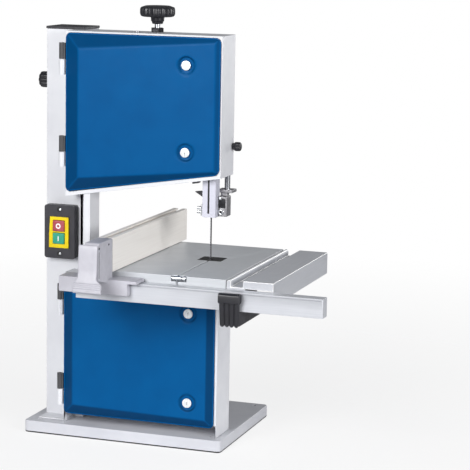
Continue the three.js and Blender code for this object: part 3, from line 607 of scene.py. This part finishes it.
# the fan cover's end plate is pressed into rings: every second one lies lower by the ring depth
coverLow, coverHigh = corners("motor_fan_cover")
deep = coverHigh[1] - coverLow[1]
rings = [(motorMade["ringFrom"] - motorMade["ringPitch"] * i, deep - motorMade["ringDepth"] * (i % 2))
         for i in range(motorMade["rings"])]
shell = [(0, deep - motorMade["wall"]), (39, deep - motorMade["wall"]), (51, 9.6), (51, 0), (53, 0),
         (53, 11.6), (41, deep)]
turnedPiece("motor_fan_cover_vented", (motorX, coverLow[1], motorZ), "y", shell + rings + [(0, deep)],
            bodyOf("motor_fan_cover"), "abs", ["motor_fan_cover"], soft=0.9)
print("motor turned")


bladeMade = {"pitch": 4.2, "gullet": 1.5, "samples": 6}
bladeLow, bladeHigh = corners("blade")
wheelR = (bladeHigh[0] - bladeLow[0]) / 2
wheelGap = (bladeHigh[2] - bladeLow[2]) - 2 * wheelR
loop = 2 * wheelGap + 2 * np.pi * wheelR
count = int(round(loop / bladeMade["pitch"])) * bladeMade["samples"]
s = np.linspace(0, loop, count, endpoint=False)
# the path climbs the left side, goes over the top wheel, down the right side and round the bottom wheel
arcTop = np.clip((s - wheelGap) / wheelR, 0, np.pi)
arcBottom = np.clip((s - 2 * wheelGap - np.pi * wheelR) / wheelR, 0, np.pi)
angle = np.pi - arcTop - arcBottom
climb = np.clip(s, 0, wheelGap) - np.clip(s - wheelGap - np.pi * wheelR, 0, wheelGap)
outward = np.stack([np.cos(angle), np.sin(angle)], 1)
hub = np.stack([np.full(count, (bladeLow[0] + bladeHigh[0]) / 2), bladeLow[2] + wheelR + climb], 1)
phase = (s / bladeMade["pitch"]) % 1
gullet = bladeMade["gullet"] * np.where(phase < 0.15, phase / 0.15, 1 - (phase - 0.15) / 0.85)
rings = []
for radius, front in ((wheelR, True), (wheelR - 0.7, True), (wheelR - 0.7, False), (wheelR, False)):
    flat = hub + outward * radius
    y = bladeLow[1] + gullet if front else np.full(count, bladeHigh[1])
    rings.append(np.stack([flat[:, 0], y, flat[:, 1]], 1))
bladePoints = np.stack(rings, 1)
bladePoints = np.concatenate([bladePoints, bladePoints[:1]])
putMesh("blade_toothed", bladePoints, gridFaces(*bladePoints.shape[:2], closed=True), bodyOf("blade"),
        "bladeSteel", ["blade"], 30)
print("blade toothed:", count // bladeMade["samples"], "teeth")


def smallPlate(name, lowCorner, highCorner, body, look, soft=0.2, corner=0.6):
    (x0, y0, z0), (x1, y1, z1) = lowCorner, highCorner
    outline = [(z0, x0), (z1, x0), (z1, x1), (z0, x1)]
    sweptPiece(name, outline, "y", y0, y1, body, look, soft=soft, corner=corner)


# offsets from the guard's and the bracket's own lowest corners
fittingsMade = {"shadePlateLow": (4, 1.5, 3), "shadePlateHigh": (-6, -17.8, -2), "plateLow": (18.6, -0.5, 13.5),
                "plateHigh": (29.5, 0.6, 29), "ring": (22, 0.2, 7), "screw": (21, -0.4, 29),
                "topScrew": (-24, -26), "topScrewRadius": 4.0}
guardLow, guardHigh = corners("blade_guard")
# a black plate inside the guard's channel, behind its slit, where there is only shade: painted shade
smallPlate("guard_channel_shade_plate", guardLow + fittingsMade["shadePlateLow"], guardHigh + fittingsMade["shadePlateHigh"],
           "guide", "abs")
blockLow, _ = corners("guide_bracket")
smallPlate("bracket_plate", blockLow + fittingsMade["plateLow"], blockLow + fittingsMade["plateHigh"],
           "guide", "blackSteel")
ringAt = blockLow + fittingsMade["ring"]
turnedPiece("bracket_ring", ringAt, "y", [(2.2, 0.6), (2.2, -1.4), (3.4, -1.8), (4.8, -1.0), (4.8, 0.6),
                                          (2.2, 0.6)],
            "guide", "zinc", soft=0.5, steps=48)
# a black disc in the ring's bore: painted shade in the hole
turnedPiece("bracket_ring_bore_shade", ringAt, "y", [(0, 0.2), (2.4, 0.2), (2.4, 0.5), (0, 0.5)], "guide",
            "insert", soft=0.1, steps=32)
slottedHead("bracket_screw", blockLow + fittingsMade["screw"], "y", 2.4, 1.2, "guide", "zinc",
            slot=0.35, turn=0.7)
knobX, knobY, _ = middle("tension_knob")
screwX, screwY = fittingsMade["topScrew"]
slottedHead("box_top_screw", (knobX + screwX, knobY + screwY, corners("upper_wheel_box")[1][2]), "z",
            fittingsMade["topScrewRadius"], 2.4, "frame", "dieCast", slot=0.5,
            turn=0.4, face=1)
# black seal under the front lip of the box, beside the guard; it climbs with the slanting bottom
sealMade = {"gap": 0.7, "wide": 10.8, "front": 16, "deep": 9, "under": 50.6, "tall": 3.0, "climb": 1.78}
sealX = guardLow[0] - sealMade["gap"]
sealY = guardLow[1] - sealMade["front"]
sealZ = guardHigh[2] - sealMade["under"]
sealLeft, sealRise = sealX - sealMade["wide"], sealZ + sealMade["climb"]
sealOutline = [(sealZ, sealLeft), (sealRise, sealX), (sealRise + sealMade["tall"], sealX),
               (sealZ + sealMade["tall"], sealLeft)]
sweptPiece("box_foot_seal", sealOutline, "y", sealY, sealY + sealMade["deep"], bodyOf("upper_wheel_box"),
           "abs", soft=0.3, corner=0.6)
print("small fittings made")


def pushButton(node, look, made):
    low, high = corners(node)
    x, _, z = middle(node)
    outline = [(low[2], low[0]), (high[2], low[0]), (high[2], high[0]), (low[2], high[0])]
    sweptPiece(node + "_cap", outline, "y", low[1], high[1], bodyOf(node), look, [node],
               made["ease"], made["corner"])
    return np.array([x, low[1], z])


buttonMade = {"ease": 1.4, "corner": 2.2, "proud": 0.25, "ringIn": 2.2, "ringOut": 4.4, "lineLong": 4.0,
              "lineWide": 0.9}
stopFace = pushButton("stop_button", "red", buttonMade)
inside, outside = buttonMade["ringIn"], buttonMade["ringOut"]
turnedPiece("stop_ring", stopFace - (0, buttonMade["proud"], 0), "y",
            [(inside, 0.4), (inside, 0), (outside, 0), (outside, 0.4), (inside, 0.4)], "stop_button",
            "white", soft=0.1, steps=48)
startFace = pushButton("start_button", "green", buttonMade)
line = [(startFace[2] + up * buttonMade["lineLong"], startFace[0] + side * buttonMade["lineWide"])
        for up, side in ((-1, -1), (1, -1), (1, 1), (-1, 1))]
sweptPiece("start_line", line, "y", startFace[1] - buttonMade["proud"], startFace[1] + 0.4, "start_button",
           "white", soft=0.1, corner=0.7)
plateMade = {"topDown": 7, "bottomUp": 8, "wellAt": -0.6, "well": 4.2, "headAt": 1.2, "head": 2.0,
             "rise": 1.2}
boxLow, boxHigh = corners("switch_box")
boxX, _, _ = middle("switch_box")
for name, z in (("switch_screw_top", boxHigh[2] - plateMade["topDown"]),
                ("switch_screw_bottom", boxLow[2] + plateMade["bottomUp"])):
    # a black disc in each screw recess, set to the left of the head: painted shade in the recess
    well = [(0, -0.15), (plateMade["well"], -0.15), (plateMade["well"], 0.3), (0, 0.3)]
    turnedPiece(name + "_recess_shade", (boxX + plateMade["wellAt"], boxLow[1], z), "y", well, bodyOf("switch_box"),
                "insert", soft=0.1, steps=40)
    slottedHead(name, (boxX + plateMade["headAt"], boxLow[1], z), "y", plateMade["head"], plateMade["rise"],
                bodyOf("switch_box"), "zinc", slot=0.3, turn=0.6)
print("switch fitted")


def clampLever(node, made):
    # a closed outline in the plane across the rail, carried along X; the front waves between ribs and the
    # lower edge is scalloped: front and foot both move by |sin(pi x ribs x t)|
    low, high = corners(node)
    t = np.linspace(0, 1, made["columns"])
    rib = np.abs(np.sin(np.pi * made["ribs"] * t)) ** 0.7
    waist = made["head"]
    top, foot = high[2], low[2]
    near, far = low[1], high[1]
    shape = np.array([(far - 0.4, top - 3), (far - 2.2, top - 0.6), (near + 6, top), (near + 2.4, top - 2.4),
                      (near + 2.0, top - waist), (near + 4.6, top - waist - 1.5), (near + 7, foot + 1),
                      (near + 9.5, foot), (near + 12.2, foot + 2), (far - 5.4, top - 17),
                      (far - 0.2, top - 14)])
    ring = softCorners(shape, 1.6, 5, True)
    below = np.clip((top - waist - ring[:, 1]) / 6, 0, 1)
    front = np.clip((near + 9 - ring[:, 0]) / 4, 0, 1)
    nearFoot = np.clip((foot + 10 - ring[:, 1]) / 10, 0, 1)
    y = ring[None, :, 0] + made["depth"] * (1 - rib)[:, None] * (below * front)[None]
    z = ring[None, :, 1] + made["scallop"] * (1 - rib)[:, None] * nearFoot[None]
    narrow = 1 - made["taper"] * below
    x = (low[0] + high[0]) / 2 + (t - 0.5)[:, None] * (high[0] - low[0]) * narrow[None]
    points = np.stack([x, y, z], -1)
    rows, count = x.shape
    faces = gridFaces(rows, count, closed=True) + endCaps(rows, count)
    piece = putMesh(node + "_ribbed", points, faces, bodyOf(node), "grip", [node], 50)
    ease = piece.modifiers.new("easedEdges", "BEVEL")
    ease.width = made["ease"] * mm
    ease.segments = 2
    ease.limit_method = "ANGLE"
    ease.angle_limit = np.radians(50)


clampMade = {"columns": 65, "ribs": 4, "head": 14, "depth": 3.4, "scallop": 3.6, "taper": 0.1, "ease": 0.5}
clampLever("extension_clamp_lever", clampMade)
print("clamp lever shaped")


def fenceLever(node, made):
    # rounded cross-sections carried down a curved path: flat and straight at the top, wide with three ridges
    # at the grip; half width and half thickness are smooth steps along the path
    low, high = corners(node)
    fenceLow, fenceHigh = corners("fence_profile")
    path = softCorners(made["path"], 8, 14)
    step = np.concatenate([[0], np.cumsum(np.linalg.norm(np.diff(path, axis=0), axis=1))])
    along = np.linspace(0, step[-1], made["rows"])
    y = np.interp(along, step, path[:, 0]) + low[1]
    z = np.interp(along, step, path[:, 1]) + low[2]
    ty, tz = np.gradient(y), np.gradient(z)
    size = np.hypot(ty, tz)
    ny, nz = tz / size, -ty / size
    flare = np.clip((along - step[-1] + made["gripLength"] + made["flareEarly"]) / made["flareLong"], 0, 1)
    flare = flare ** 2 * (3 - 2 * flare)
    xLeft = fenceLow[0] - made["left"][0] - made["left"][1] * flare
    xRight = fenceHigh[0] + made["right"][0] + made["right"][1] * flare
    onGrip = np.clip(along - step[-1] + made["gripLength"], 0, None)
    ridge = 0.5 - 0.5 * np.cos(2 * np.pi * onGrip / made["ridgePitch"])
    thick = made["thick"] / 2 + flare * made["ridge"] * ridge
    toEnd = np.clip(np.minimum(along, step[-1] - along) / made["endLong"], 0, 1)
    endRound = np.sqrt(np.clip(1 - (1 - toEnd) ** 2, 0, 1))
    a = np.linspace(0, 2 * np.pi, 64, endpoint=False)
    cx = np.sign(np.cos(a)) * np.abs(np.cos(a)) ** 0.22
    cn = np.sign(np.sin(a)) * np.abs(np.sin(a)) ** 0.42
    half = (xRight - xLeft) / 2 - made["endIn"] * (1 - endRound)
    x = ((xLeft + xRight) / 2)[:, None] + half[:, None] * cx[None]
    depth = (thick * np.maximum(endRound, 0.02))[:, None] * cn[None]
    points = np.stack([x, y[:, None] + ny[:, None] * depth, z[:, None] + nz[:, None] * depth], -1)
    rows, count = x.shape
    faces = gridFaces(rows, count, closed=True) + endCaps(rows, count)
    putMesh(node + "_curved", points, faces, bodyOf(node), "nylon", [node], 60)


# path of (y, z) from the lowest corner; left and right: the strip's reach past the fence, the grip's extra
leverMade = {"path": [(15.6, 73.4), (13.4, 66), (12.4, 44), (11.8, 30), (6.2, 15), (4.0, 8), (3.9, 1.6)],
             "rows": 140, "thick": 4.0, "gripLength": 16, "flareEarly": 8, "flareLong": 12,
             "ridgePitch": 5.2,
             "ridge": 1.7, "left": (5, 5.4), "right": (1.3, 9.6), "endLong": 2.4, "endIn": 1.2}
fenceLever("fence_lever", leverMade)
print("fence lever shaped")

carrierMade = {"behind": 22.5, "wide": 1.4, "foot": 22, "top": 62, "proud": 0.12,
               "screws": ((22.5, 67.5), (60, 68.5)), "radius": 1.6}
leverLow, _ = corners("fence_lever")
sideX = corners("fence_profile")[1][0]
# in the plane across the fence: a black strip painted into the shadow gap behind the lever's strip (painted
# shade), and two small screws in the cheek
gapShadeStrip = [(leverLow[1] + carrierMade["behind"] + c * carrierMade["wide"], leverLow[2] + h) for c, h in
        ((0, carrierMade["foot"]), (1, carrierMade["foot"]), (1, carrierMade["top"]),
         (0, carrierMade["top"]))]
sweptPiece("carrier_gap_shade_strip", gapShadeStrip, "x", sideX - 0.4, sideX + carrierMade["proud"], bodyOf("fence_carrier"),
           "insert", soft=0.05, corner=0.3)
for count, (back, rise) in enumerate(carrierMade["screws"]):
    slottedHead("carrier_screw_" + str(count + 1), (sideX, leverLow[1] + back, leverLow[2] + rise), "x",
                carrierMade["radius"], 0.7, bodyOf("fence_carrier"), "blackSteel",
                slot=0.25, turn=0.8, face=1)
print("carrier cheek fitted")


def lookFrom(eye, yaw, pitch, roll):
    # forward turns left of +Y by the yaw and down by the pitch; the roll turns the view about forward
    y, p, r = np.radians([yaw, pitch, roll])
    forward = np.array([-np.sin(y) * np.cos(p), np.cos(y) * np.cos(p), -np.sin(p)])
    right = np.array([np.cos(y), np.sin(y), 0])
    down = np.cross(forward, right)
    xAxis = np.cos(r) * right + np.sin(r) * down
    yAxis = -(np.cos(r) * down - np.sin(r) * right)
    turn = Matrix(np.stack([xAxis, yAxis, -forward], 1).tolist()).to_4x4()
    return Matrix.Translation(Vector(eye)) @ turn


cameraMade = {"eye": (0.9977, -2.7159, 0.8297), "yaw": 18.59, "pitch": 9.51, "roll": -1.05, "lens": 141.75}
camera = bpy.data.objects.new("camera", bpy.data.cameras.new("camera"))
camera.data.lens = cameraMade["lens"]
camera.data.sensor_width = 36
camera.data.clip_start = 0.05
camera.matrix_world = lookFrom(cameraMade["eye"], cameraMade["yaw"], cameraMade["pitch"], cameraMade["roll"])
bpy.context.scene.collection.objects.link(camera)
bpy.context.scene.camera = camera

floorMesh = bpy.data.meshes.new("floor")
floorMesh.from_pydata([(-9, -9, 0), (9, -9, 0), (9, 9, 0), (-9, 9, 0)], [], [(0, 1, 2, 3)])
floor = bpy.data.objects.new("floor", floorMesh)
bpy.context.scene.collection.objects.link(floor)
paper, paperTree, paperShader, paperPlace = finish("mattPaperFloor", "#f6f6f7", 0.9)
tones(paperTree, paperShader, paperPlace, 300, "#f7f7f8", "#f3f3f5", 2)
# the paper glows for the eye only, and it thins out to the white behind it between two distances in m
floorMade = {"glow": 0.78, "fadeFrom": 0.4, "fadeTo": 1.8}
lit = addNode(paperTree, "ShaderNodeEmission", {"Color": linear("#ffffff"), "Strength": 1.0})
seenFloor = addNode(paperTree, "ShaderNodeLightPath").outputs["Is Camera Ray"]
share = addNode(paperTree, "ShaderNodeMath", {1: floorMade["glow"]}, {0: seenFloor}, operation="MULTIPLY")
glow = addNode(paperTree, "ShaderNodeMixShader",
               links={0: share.outputs[0], 1: paperShader.outputs["BSDF"], 2: lit.outputs[0]})
away = addNode(paperTree, "ShaderNodeVectorMath", links={0: paperPlace}, operation="LENGTH").outputs["Value"]
paintedShadeAndFade = addNode(paperTree, "ShaderNodeMapRange",
               {"From Min": floorMade["fadeFrom"], "From Max": floorMade["fadeTo"]},
               {"Value": away}).outputs["Result"]
clear = addNode(paperTree, "ShaderNodeBsdfTransparent")
fade = addNode(paperTree, "ShaderNodeMixShader", links={0: paintedShadeAndFade, 1: glow.outputs[0], 2: clear.outputs[0]})
paperOut = next(n for n in paperTree.nodes if n.bl_idname == "ShaderNodeOutputMaterial")
paperTree.links.new(fade.outputs[0], paperOut.inputs["Surface"])
floorMesh.materials.append(paper)

lamps = {"keyRight": ((2.27, -1.22, 0.95), 1.0, 39), "backFill": ((0.8, 2.4, 0.9), 1.2, 12),
         "frontSoft": ((-0.5, -2.3, 1.2), 1.3, 51)}
for name, (spot, size, power) in lamps.items():
    lamp = bpy.data.lights.new(name, "AREA")
    lamp.shape, lamp.size, lamp.energy = "DISK", size, power
    holder = bpy.data.objects.new(name, lamp)
    aim = (Vector((0, 0, 0.4)) - Vector(spot)).to_track_quat("-Z", "Y")
    holder.matrix_world = Matrix.Translation(spot) @ aim.to_matrix().to_4x4()
    bpy.context.scene.collection.objects.link(holder)

world = bpy.data.worlds.new("studioWhite")
world.use_nodes = True
sky = world.node_tree
sky.nodes.clear()
dim = addNode(sky, "ShaderNodeBackground", {"Color": linear("#f4f6fa"), "Strength": 0.22})
clean = addNode(sky, "ShaderNodeBackground", {"Color": linear("#ffffff"), "Strength": 1.0})
seen = addNode(sky, "ShaderNodeLightPath").outputs["Is Camera Ray"]
both = addNode(sky, "ShaderNodeMixShader", links={0: seen, 1: dim.outputs[0], 2: clean.outputs[0]})
addNode(sky, "ShaderNodeOutputWorld", links={"Surface": both.outputs[0]})
bpy.context.scene.world = world
bpy.context.scene.view_settings.view_transform = "Standard"
print("stage lit")
